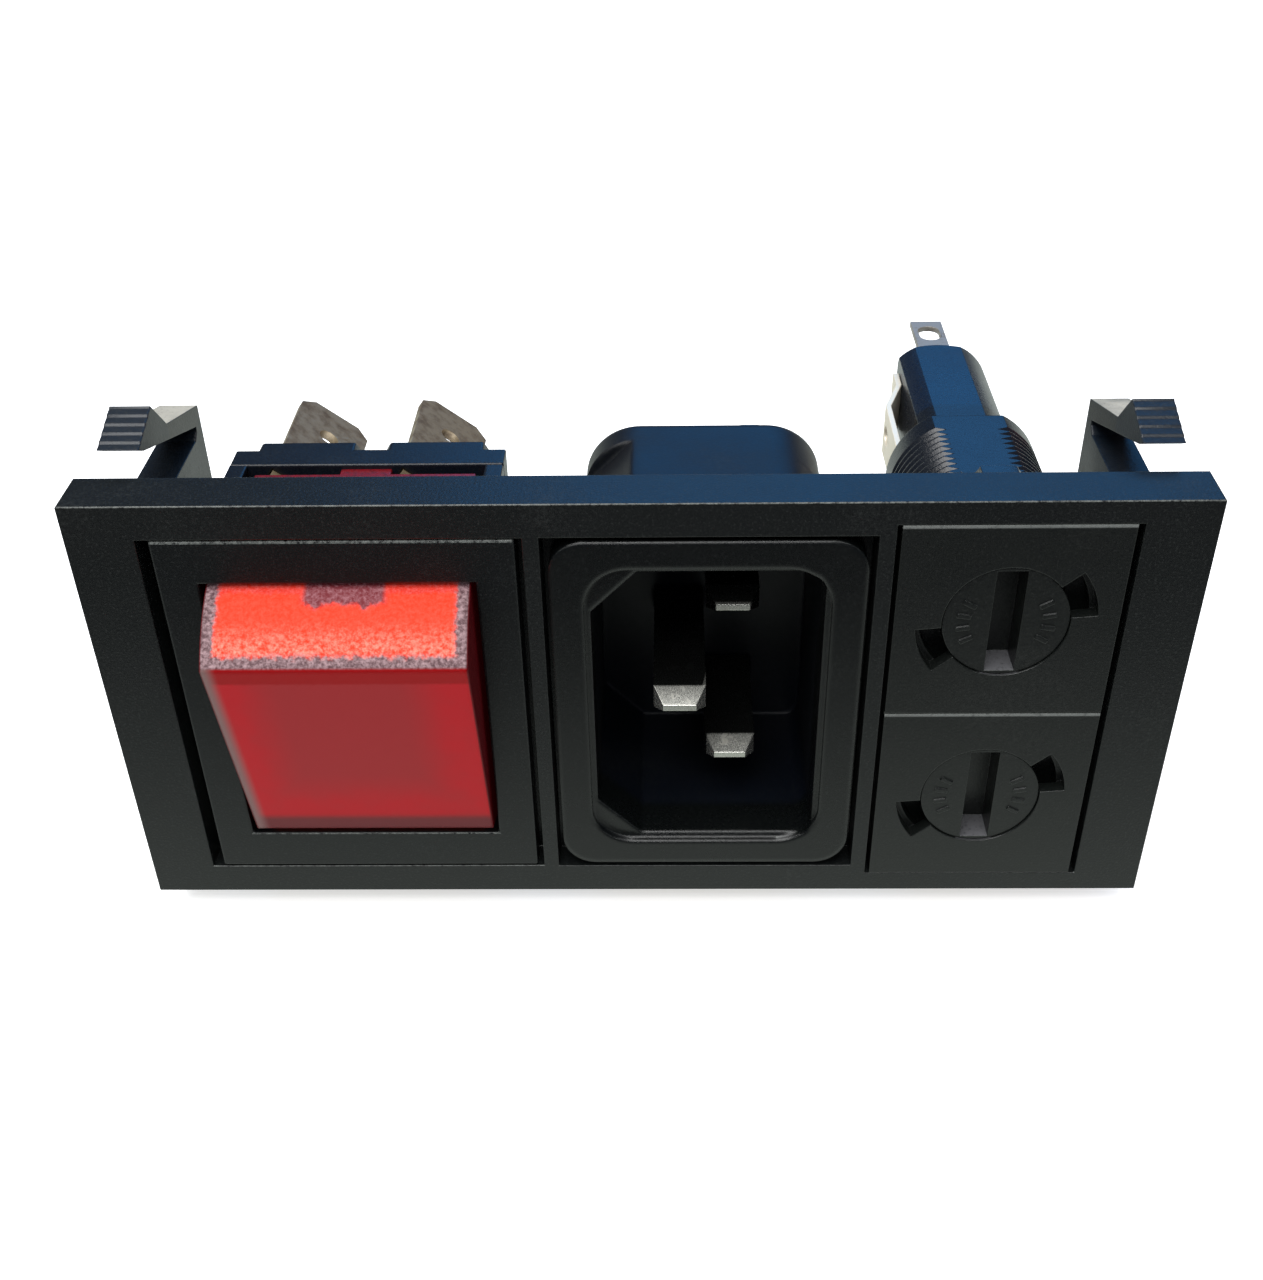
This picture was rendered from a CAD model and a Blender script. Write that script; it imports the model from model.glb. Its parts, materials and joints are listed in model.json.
# %% [markdown]
# A snap-in power entry module: a black moulded frame with a lighted red rocker
# switch, a mains inlet turned on its side and two small fuse holders. The solids
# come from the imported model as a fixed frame, so this script only adds what the
# eye needs: rounded edges, finishes, light and the camera.

# %% Load the frame
import bpy
import json
import math
from mathutils import Matrix, Vector


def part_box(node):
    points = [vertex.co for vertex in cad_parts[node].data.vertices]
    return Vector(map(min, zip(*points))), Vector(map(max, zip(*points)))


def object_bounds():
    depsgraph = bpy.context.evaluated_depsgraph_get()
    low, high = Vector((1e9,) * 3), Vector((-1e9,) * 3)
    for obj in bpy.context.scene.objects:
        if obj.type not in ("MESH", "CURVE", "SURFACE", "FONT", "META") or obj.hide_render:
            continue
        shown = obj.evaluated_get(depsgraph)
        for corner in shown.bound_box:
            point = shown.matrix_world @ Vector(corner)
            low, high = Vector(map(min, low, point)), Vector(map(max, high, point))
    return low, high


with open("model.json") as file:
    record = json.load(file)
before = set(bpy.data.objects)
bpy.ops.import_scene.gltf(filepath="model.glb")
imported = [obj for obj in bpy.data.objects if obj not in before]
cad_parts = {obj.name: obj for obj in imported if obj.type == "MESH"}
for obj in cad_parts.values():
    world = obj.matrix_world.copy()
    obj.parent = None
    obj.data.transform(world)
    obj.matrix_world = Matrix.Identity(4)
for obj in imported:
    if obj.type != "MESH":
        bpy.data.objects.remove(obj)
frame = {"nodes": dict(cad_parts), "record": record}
nodes = frame["nodes"]
cad_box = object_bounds()
MM = 0.001

# %% [markdown]
# The camera stands in front of the module and looks down on it. Its place and
# its three angles were worked out from the plate's corners and the inlet's pins.
# The small shifts move the picture, not the camera, as a cropped photograph does.

# %% Camera
PHOTO_W, PHOTO_H = 1263, 1280
FOCAL_PX = 1541.3
CENTRE_PX = (645.3, 715.4)
EYE = Vector((2.394, -96.648, 69.769)) * MM
PITCH, YAW, ROLL = math.radians(37.06), math.radians(-1.28), math.radians(-0.99)

ahead = Vector((math.sin(YAW) * math.cos(PITCH), math.cos(YAW) * math.cos(PITCH), -math.sin(PITCH)))
level = Vector((math.cos(YAW), -math.sin(YAW), 0))
upward = level.cross(ahead)
right = math.cos(ROLL) * level + math.sin(ROLL) * upward
top = math.cos(ROLL) * upward - math.sin(ROLL) * level

lens = bpy.data.cameras.new("photo_camera")
lens.sensor_fit = "HORIZONTAL"
lens.sensor_width = 36
lens.lens = FOCAL_PX / PHOTO_W * lens.sensor_width
lens.shift_x = (PHOTO_W / 2 - CENTRE_PX[0]) / PHOTO_W
lens.shift_y = (CENTRE_PX[1] - PHOTO_H / 2) / PHOTO_W
lens.clip_start = 0.005
camera = bpy.data.objects.new("photo_camera", lens)
camera.matrix_world = Matrix.Translation(EYE) @ Matrix((right, top, -ahead)).transposed().to_4x4()
bpy.context.scene.collection.objects.link(camera)
bpy.context.scene.camera = camera
print("lens %.1f mm, shift %.3f %.3f" % (lens.lens, lens.shift_x, lens.shift_y))

# %% [markdown]
# Every finish below is a small network of shader nodes. Wiring them one call at a
# time is slow to read, so a Wire holds one output socket and turns Python sums
# into Math nodes: 1 - mask is a subtract node. Anything else comes from add().

# %% A socket that does sums
class Wire:
    """An output socket of a material; sums on it add Math nodes."""

    def __init__(self, tree, socket=None):
        self.tree, self.socket = tree, socket

    def add(self, kind, settings=(), sockets=(), out=0):
        """A new node: its settings first, then values or wires for its sockets."""
        node = self.tree.nodes.new("ShaderNode" + kind)
        for name, value in dict(settings).items():
            setattr(node, name, value)
        for name, value in dict(sockets).items():
            if isinstance(value, Wire):
                self.tree.links.new(value.socket, node.inputs[name])
            else:
                node.inputs[name].default_value = value
        return Wire(self.tree, node.outputs[out])

    def math(self, operation, *terms, clamp=False):
        return self.add("Math", {"operation": operation, "use_clamp": clamp}, dict(enumerate(terms)))

    def __add__(self, other): return self.math("ADD", self, other)
    def __radd__(self, other): return self.math("ADD", other, self)
    def __sub__(self, other): return self.math("SUBTRACT", self, other)
    def __rsub__(self, other): return self.math("SUBTRACT", other, self)
    def __mul__(self, other): return self.math("MULTIPLY", self, other)
    def __rmul__(self, other): return self.math("MULTIPLY", other, self)
    def __pow__(self, other): return self.math("POWER", self, other)
    def __abs__(self): return self.math("ABSOLUTE", self)
    def most(self, other): return self.math("MAXIMUM", self, other)

    def ease(self, low, high):
        """0 below low, 1 above high, smooth between; swap them for the reverse."""
        return self.add("MapRange", {"interpolation_type": "SMOOTHSTEP"},
                        {"Value": self, "From Min": low, "From Max": high})

    def mix(self, first, second):
        """The first colour where this is 0, the second where it is 1."""
        return self.add("Mix", {"data_type": "RGBA"}, {0: self, 6: first, 7: second}, out=2)

# %% [markdown]
# Positions drive most of the detail: a stain sits near an edge, grain covers all.
# The object's own coordinates are metres in the CAD frame, so a thousand times
# them is millimetres, and noise scales can be read as grains per millimetre.

# %% Places and noise in millimetres
def millimetres(wire):
    """The point on the surface, as a vector and as its three parts."""
    place = wire.add("TexCoord", out="Object")
    point = wire.add("VectorMath", {"operation": "SCALE"}, {0: place, "Scale": 1 / MM})
    parts = [wire.add("SeparateXYZ", sockets={0: point}, out=axis) for axis in "XYZ"]
    return point, *parts


def noise(point, per_mm, detail=2.0, rough=0.5, stretch=None):
    """Soft noise from 0 to 1 with so many grains in a millimetre."""
    if stretch:
        point = point.add("VectorMath", {"operation": "MULTIPLY"}, {0: point, 1: stretch})
    return point.add("TexNoise", sockets={"Vector": point, "Scale": per_mm,
                                          "Detail": detail, "Roughness": rough})


FINISHES = {}


def finish(name, **constants):
    """A material with a Principled shader, and a Wire to build on."""
    material = FINISHES[name] = bpy.data.materials.new(name)
    material.use_nodes = True
    tree = material.node_tree
    shader = tree.nodes["Principled BSDF"]
    for socket, value in constants.items():
        shader.inputs[socket.replace("_", " ")].default_value = value
    return material, shader, Wire(tree)


def feed(shader, **wires):
    """Joins wires to the shader's sockets."""
    for socket, wire in wires.items():
        wire.tree.links.new(wire.socket, shader.inputs[socket.replace("_", " ")])


def relief(height, depth_mm, strength=1.0, edge_mm=0.1):
    """A Bump node over softened edges: height 0 to 1 stands for this many millimetres."""
    soft = height.add("Bevel", {"samples": 8}, {"Radius": edge_mm * MM})
    return height.add("Bump", sockets={"Height": height, "Distance": depth_mm * MM,
                                       "Strength": strength, "Normal": soft}, out="Normal")


def facing(wire, direction):
    """How much the surface looks along a direction: 1 straight on, 0 from the side."""
    normal = wire.add("TexCoord", out="Normal")
    return wire.add("VectorMath", {"operation": "DOT_PRODUCT"},
                    {0: normal, 1: Vector(direction).normalized()}, out="Value")

# %% [markdown]
# Moulded black plastic is not one black. The mould's spark-eroded face leaves a
# grain about a tenth of a millimetre across, handling polishes it in patches, and
# dust greys it a little. One function makes all the blacks, each with its own
# tint, grain and gloss. Behind the panel the same parts are glossier and bluer.

# %% Moulded black plastics
def moulded(name, tint, rear_tint, dusty, gloss, rear_gloss, grain_per_mm=5.0, grain_mm=0.05,
            edge_mm=0.12, extra=None):
    material, shader, wire = finish(name, Specular_IOR_Level=0.42)
    point, x, y, z = millimetres(wire)
    grain = noise(point, grain_per_mm, 3, 0.6)
    cloud = noise(point, 0.11, 3, 0.55)
    fleck = noise(point, 2.6, 5, 0.75)
    rear = y.ease(-0.6, 0.6)
    pits = fleck.ease(0.50, 0.30) * 0.5
    dust = (fleck * cloud).ease(0.29, 0.44) * 0.6
    colour = dust.most(grain.ease(0.52, 0.72) * 0.7).mix(rear.mix(tint, rear_tint), dusty)
    if extra:
        colour = extra(wire, colour, x, y, z, cloud)
    # Handling polishes the upper front edges first, and unevenly
    worn = facing(wire, (0, -1, 1)).ease(0.80, 0.90) * y.ease(0.4, -0.4) * fleck.ease(0.35, 0.60)
    colour = worn.mix(pits.mix(colour, (0.001, 0.001, 0.002, 1)), (0.085, 0.092, 0.085, 1))
    feed(shader, Base_Color=colour,
         Roughness=rear * (rear_gloss - gloss) + gloss + (cloud - 0.5) * 0.2 + (grain - 0.5) * 0.14,
         Normal=relief(grain, grain_mm, 0.8, edge_mm))
    return material


def latch_light(wire, colour, x, y, z, cloud):
    """The latch arms are polished by the cut-out's edge: pale on top, grey at the sides."""
    arms = abs(x).ease(35.2, 35.5) * abs(x).ease(38.9, 38.6) * y.ease(8.3, 8.6) * abs(z).ease(14.2, 14.8)
    grey = (arms * abs(facing(wire, (1, 0, 0))).ease(0.7, 0.9)).mix(colour, (0.012, 0.012, 0.010, 1))
    return (arms * facing(wire, (0, 0, 1)).ease(0.7, 0.9) * cloud.ease(0.2, 0.5)).mix(
        grey, (0.34, 0.32, 0.27, 1))


def slot_light(wire, colour, x, y, z, cloud):
    """A screwdriver has scuffed the lower end of each carrier's slot."""
    low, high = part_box("upper_carrier")
    slot = abs(x - (low.x + high.x) / 2 / MM).ease(1.5, 1.3) * y.ease(-1.3, -1.6) * y.ease(-4.2, -3.9)
    scuff = slot * facing(wire, (0, 0, 1)).ease(0.6, 0.9)
    colour = (y.ease(1.0, 2.0) * y.ease(22.6, 22.0)).mix(colour, (0.004, 0.006, 0.010, 1))
    for body in ("upper_fuse_body", "lower_fuse_body"):
        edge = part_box(body)[1].z / MM
        line = z.ease(edge - 0.30, edge - 0.15) * z.ease(edge + 0.06, edge + 0.02) * y.ease(-3.7, -3.9)
        colour = (line * cloud.ease(0.2, 0.5)).mix(colour, (0.105, 0.112, 0.105, 1))
    return scuff.mix(colour, (0.085, 0.085, 0.090, 1))


frame_plastic = moulded("frame_plastic", (0.0036, 0.0046, 0.0046, 1), (0.004, 0.008, 0.014, 1),
                        (0.016, 0.018, 0.017, 1), 0.36, 0.42, grain_mm=0.03, extra=latch_light)
switch_plastic = moulded("switch_plastic", (0.0024, 0.0032, 0.0034, 1), (0.003, 0.005, 0.009, 1),
                         (0.011, 0.013, 0.013, 1), 0.34, 0.34, grain_per_mm=6.0, grain_mm=0.02)
inlet_plastic = moulded("inlet_plastic", (0.0020, 0.0026, 0.0026, 1), (0.0008, 0.002, 0.005, 1),
                        (0.006, 0.007, 0.007, 1), 0.30, 0.44, grain_per_mm=4.0, grain_mm=0.010,
                        edge_mm=0.6)
fuse_plastic = moulded("fuse_plastic", (0.0045, 0.0056, 0.0050, 1), (0.003, 0.008, 0.020, 1),
                       (0.012, 0.013, 0.012, 1), 0.34, 0.28, grain_per_mm=5.0, grain_mm=0.02,
                       extra=slot_light)
print("black plastics:", frame_plastic.name, switch_plastic.name, inlet_plastic.name, fuse_plastic.name)

# %% [markdown]
# The rocker is a translucent red moulding, hollow and lit through. Over the hollow
# it glows; over its solid walls, 1.3 mm thick, the same plastic reads grey at the
# frosted end and dark at the smooth front. So the finish needs to know where a
# point lies on the rocker: the place is turned back by the rocker's tilt first.

# %% The rocker's translucent red
TILT = math.radians(14.4)
PIVOT_Y, FACE, END_R, WALL, HALF_W = 0.8, 7.6, 12.3, 1.3, 9.45


def rocker_red():
    material, shader, wire = finish("rocker_plastic", Specular_IOR_Level=0.16, Emission_Strength=0.08)
    point, x, y, z = millimetres(wire)
    low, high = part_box("rocker")
    across = x - (low.x + high.x) / 2 / MM
    depth = (y - PIVOT_Y) * math.cos(TILT) + z * math.sin(TILT)
    height = z * math.cos(TILT) - (y - PIVOT_Y) * math.sin(TILT)
    face_top = math.sqrt(END_R ** 2 - FACE ** 2)
    side = abs(across)
    speckle = noise(point, 3.4, 4, 0.7)
    coarse = noise(point, 0.5, 3, 0.6)
    wobble = (noise(point, 2.2, 3, 0.6) - 0.5) * 0.9

    # The raised end: an orange glow, paler near the edge, with grey frosted borders
    rise = depth + wobble
    pale = rise.ease(-4.2, -6.6)
    glow = (pale * 0.80 + 0.14) * speckle.ease(0.32, 0.74)
    orange = glow.mix((0.74, 0.024, 0.003, 1), (0.84, 0.23, 0.17, 1))
    walls = (side + wobble).ease(HALF_W - WALL + 0.1, HALF_W - WALL + 0.6).most(rise.ease(-6.45, -7.0))
    dips = abs(abs(across - 0.25) - 1.75).ease(0.55, 0.0)
    patch = (rise + dips * 0.45).ease(-3.5, -3.0) * abs(across - 0.5).ease(3.3, 2.6) * 0.9
    patch = patch.most(rise.ease(-2.5, -2.2) * 0.35)
    frost = speckle.ease(0.32, 0.74).mix((0.070, 0.034, 0.038, 1), (0.30, 0.20, 0.21, 1))
    shade = speckle.ease(0.35, 0.80).mix((0.055, 0.012, 0.020, 1), (0.22, 0.12, 0.14, 1))
    end = patch.mix(walls.mix(orange, frost), shade)

    # The front face: deep red, livelier at the sides, darker over the solid walls
    lively = side.ease(4.0, 8.3).most(height.ease(-2.0, -7.4)) * (coarse * 1.2 + 0.4)
    front = lively.mix((0.215, 0.010, 0.012, 1), (0.29, 0.002, 0.006, 1))
    front = (height + wobble * 0.3).ease(face_top - 1.55, face_top - 1.25).mix(front, (0.20, 0.0, 0.001, 1))
    front = height.ease(-face_top + 2.2, -face_top + 1.1).mix(front, (0.092, 0.012, 0.014, 1))
    front = across.ease(-HALF_W + 1.2, -HALF_W + 0.2).mix(front, (0.14, 0.080, 0.075, 1))

    on_end = depth.ease(-FACE + 0.05, -FACE + 0.25)
    flank = side.ease(HALF_W - 0.15, HALF_W - 0.01)
    colour = flank.mix(on_end.mix(front, end), (0.075, 0.0, 0.002, 1))
    feed(shader, Base_Color=colour, Emission_Color=colour,
         Roughness=on_end * 0.25 + 0.30 + coarse * 0.06,
         Normal=relief(speckle * on_end, 0.08, 0.8, 0.6))
    return material


rocker_plastic = rocker_red()
print("rocker:", rocker_plastic.name)

# %% [markdown]
# The metals are thin strips that have been stamped, plated and handled. A plated
# face is nearly a mirror at a small scale but clouded by tarnish, which is both
# darker and rougher, and it is brushed along the strip by the rolling mill.

# %% Plated and bare metals
def plated(name, bright, tarnish, gloss, amount, metal=1.0, along=(1.0, 0.15, 1.0), extra=None):
    material, shader, wire = finish(name, Metallic=metal)
    point, x, y, z = millimetres(wire)
    cloud = noise(point, 0.9, 5, 0.62)
    stain = cloud.ease(0.62 - amount * 0.3, 0.72)
    brushed = noise(point, 9.0, 2, 0.5, stretch=along)
    colour = stain.mix(bright, tarnish)
    if extra:
        colour = extra(colour, x, y, z)
    feed(shader,
         Base_Color=colour,
         Roughness=gloss + stain * 0.18 + (brushed - 0.5) * 0.12,
         Normal=relief(brushed, 0.004, 0.5))
    return material


def side_strip(colour, x, y, z):
    """The side terminals never see a soldering iron, so their plating stays pale."""
    return y.ease(36.0, 33.0).mix(colour, (0.70, 0.64, 0.52, 1))


def pin_shaft(colour, x, y, z):
    """Only the bevelled tips catch the light; the shafts mirror the dark mouth."""
    earth_tip, line_tip = [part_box(pin)[0].y / MM for pin in ("earth_pin", "line_pin")]
    behind = y - (x.ease(4.6, 5.2) * (line_tip - earth_tip) + earth_tip)
    shaft = behind.ease(1.4, 1.7).most(z.ease(4.0, 5.0) * behind.ease(0.1, 0.3)) * y.ease(13.0, 12.0)
    return shaft.mix(colour, (0.030, 0.032, 0.030, 1))


tinned_brass = plated("tinned_brass", (0.170, 0.134, 0.082, 1), (0.082, 0.056, 0.030, 1), 0.42, 0.8, 0.35)
nickelled_brass = plated("nickelled_brass", (0.48, 0.48, 0.44, 1), (0.34, 0.33, 0.29, 1), 0.26, 0.3, 0.9,
                         extra=pin_shaft)
terminal_nickel = plated("terminal_nickel", (0.21, 0.20, 0.18, 1), (0.14, 0.12, 0.10, 1), 0.40, 0.4, 0.35,
                         extra=side_strip)
ferrule_brass = plated("ferrule_brass", (0.64, 0.56, 0.42, 1), (0.45, 0.36, 0.24, 1), 0.26, 0.3)
cap_metal = plated("cap_metal", (0.68, 0.67, 0.64, 1), (0.50, 0.48, 0.44, 1), 0.18, 0.2)
contact_copper = plated("contact_copper", (0.72, 0.38, 0.22, 1), (0.45, 0.22, 0.12, 1), 0.30, 0.5)
spring_steel = plated("spring_steel", (0.56, 0.57, 0.60, 1), (0.38, 0.37, 0.36, 1), 0.24, 0.3)
fuse_element = plated("fuse_element", (0.64, 0.62, 0.56, 1), (0.50, 0.46, 0.40, 1), 0.25, 0.2)

# %% [markdown]
# The last finishes belong to pieces that are only seen when the module is taken
# apart or looked at from behind: the lamp's glass, the fuse's glass tube, nylon,
# the red lamp holder that shows through the slot, and the resistor's lacquer.

# %% Glass, nylon and lacquer
def clear(name, tint):
    material, shader, wire = finish(name, Transmission_Weight=1.0, IOR=1.47)
    point, x, y, z = millimetres(wire)
    feed(shader, Base_Color=noise(point, 0.4).mix(tint, (0.95, 0.97, 0.97, 1)),
         Roughness=0.02 + noise(point, 1.5, 3) * 0.06)
    return material


def solid(name, tint, worn, gloss, per_mm=2.0):
    material, shader, wire = finish(name)
    point, x, y, z = millimetres(wire)
    grain = noise(point, per_mm, 3, 0.6)
    feed(shader, Base_Color=grain.ease(0.35, 0.75).mix(tint, worn),
         Roughness=gloss + (grain - 0.5) * 0.2, Normal=relief(grain, 0.006, 0.4))
    return material


lamp_glass = clear("lamp_glass", (0.95, 0.72, 0.55, 1))
fuse_glass = clear("fuse_glass", (0.90, 0.96, 0.95, 1))
plunger_plastic = solid("plunger_plastic", (0.78, 0.75, 0.66, 1), (0.62, 0.58, 0.50, 1), 0.38)
lamp_holder_plastic = solid("lamp_holder_plastic", (0.12, 0.002, 0.006, 1), (0.06, 0.001, 0.004, 1), 0.35)
resistor_body = solid("resistor_body", (0.50, 0.38, 0.22, 1), (0.38, 0.27, 0.15, 1), 0.3, 1.2)

# %% [markdown]
# No moulded or stamped edge is sharp. A bevel of a tenth of a millimetre or two
# catches the light as a thin bright line, which is most of what makes black
# plastic readable. The bevel is a modifier, so the solid underneath is untouched.

# %% Finishes and rounded edges
EDGES_MM = {"front_frame": 0.22, "switch_housing": 0.18, "switch_base": 0.15, "rocker": 0.35,
            "inlet_housing": 0.22, "fuse_body": 0.18, "ring_nut": 0.2, "carrier": 0.15,
            "pin": 0.1, "terminal": 0.07, "lamp_holder": 0.1, "contact_bar": 0.08}


def rounded(node, width_mm):
    """Joins the split corners, rounds every edge sharper than 30 degrees."""
    weld = node.modifiers.new("join_corners", "WELD")
    weld.merge_threshold = 1e-6
    bevel = node.modifiers.new("round_edges", "BEVEL")
    bevel.width = width_mm * MM
    bevel.segments = 2
    bevel.limit_method = "ANGLE"
    bevel.angle_limit = math.radians(30)
    bevel.use_clamp_overlap = True
    bevel.harden_normals = False
    flat = node.modifiers.new("even_normals", "WEIGHTED_NORMAL")
    flat.keep_sharp = True


slots = {s["node"]: s["material_slot"] for s in frame["record"]["subparts"]}
for name, node in nodes.items():
    node.material_slots[0].material = FINISHES[slots[name]]
    for part, width in EDGES_MM.items():
        if name == part or name.endswith("_" + part):
            rounded(node, width)
            break
print("finished nodes:", len(nodes))

# %% [markdown]
# The studio is plain: a pale floor that runs back out of sight and a few soft
# lamps. Black plastic shows only what it mirrors, so the blacks are set by what
# glossy rays find: a dim room in front, blue light behind the module, and a long
# lamp overhead that draws the bright lines along the upper edges.

# %% Floor, lamps and world
def ray_kind(wire, kind):
    """1 for rays of one kind, such as those that leave the camera."""
    return wire.add("LightPath", out="Is %s Ray" % kind)


floor_z = cad_box[0][2]
bpy.ops.mesh.primitive_plane_add(size=6, location=(0, 0, floor_z - 0.02 * MM))
floor = bpy.context.object
floor.name = "floor"
paper, paper_shader, wire = finish("paper", Roughness=0.9, Emission_Strength=1.0)
point, x, y, z = millimetres(wire)
near = y.ease(-60, 6) * (noise(point, 0.02) * 0.3 + 0.85)
mirrored = near.mix((0.004, 0.006, 0.010, 1), (0.78, 0.86, 0.79, 1))
shown = ray_kind(wire, "Camera").mix((0, 0, 0, 1), (0.58, 0.57, 0.55, 1))
feed(paper_shader,
     Base_Color=ray_kind(wire, "Glossy").mix((0.8, 0.8, 0.8, 1), (0.02, 0.02, 0.02, 1)),
     Emission_Color=ray_kind(wire, "Glossy").mix(shown, mirrored))
floor.data.materials.append(paper)


def soft_lamp(name, place, size, watts, colour=(1, 1, 1)):
    """A rectangular lamp that looks at the module."""
    light = bpy.data.lights.new(name, "AREA")
    light.shape = "RECTANGLE"
    light.size, light.size_y = size
    light.energy = watts
    light.color = colour
    lamp = bpy.data.objects.new(name, light)
    lamp.location = place
    lamp.rotation_euler = (-Vector(place)).to_track_quat("-Z", "Y").to_euler()
    bpy.context.scene.collection.objects.link(lamp)


soft_lamp("key_lamp", (-0.10, -0.10, 0.48), (0.40, 0.35), 3.4)
soft_lamp("edge_lamp", (0.0, -0.34, 0.42), (0.60, 0.10), 1.2)
soft_lamp("blue_lamp", (0.08, 0.44, 0.32), (0.36, 0.28), 0.60, (0.06, 0.40, 1.0))
soft_lamp("left_lamp", (-0.42, 0.20, 0.16), (0.30, 0.30), 0.22, (1.0, 0.95, 0.85))
soft_lamp("right_lamp", (0.42, 0.20, 0.20), (0.30, 0.25), 0.14, (1.0, 0.30, 0.20))

world = bpy.data.worlds.new("studio")
bpy.context.scene.world = world
world.use_nodes = True
sky = Wire(world.node_tree)
seen = ray_kind(sky, "Glossy").mix((0.55, 0.57, 0.60, 1), (0.05, 0.06, 0.08, 1))
seen = ray_kind(sky, "Camera").mix(seen, (1, 1, 1, 1))
back = world.node_tree.nodes["Background"]
back.inputs["Strength"].default_value = 1
world.node_tree.links.new(seen.socket, back.inputs["Color"])
bpy.context.scene.view_settings.view_transform = "Standard"
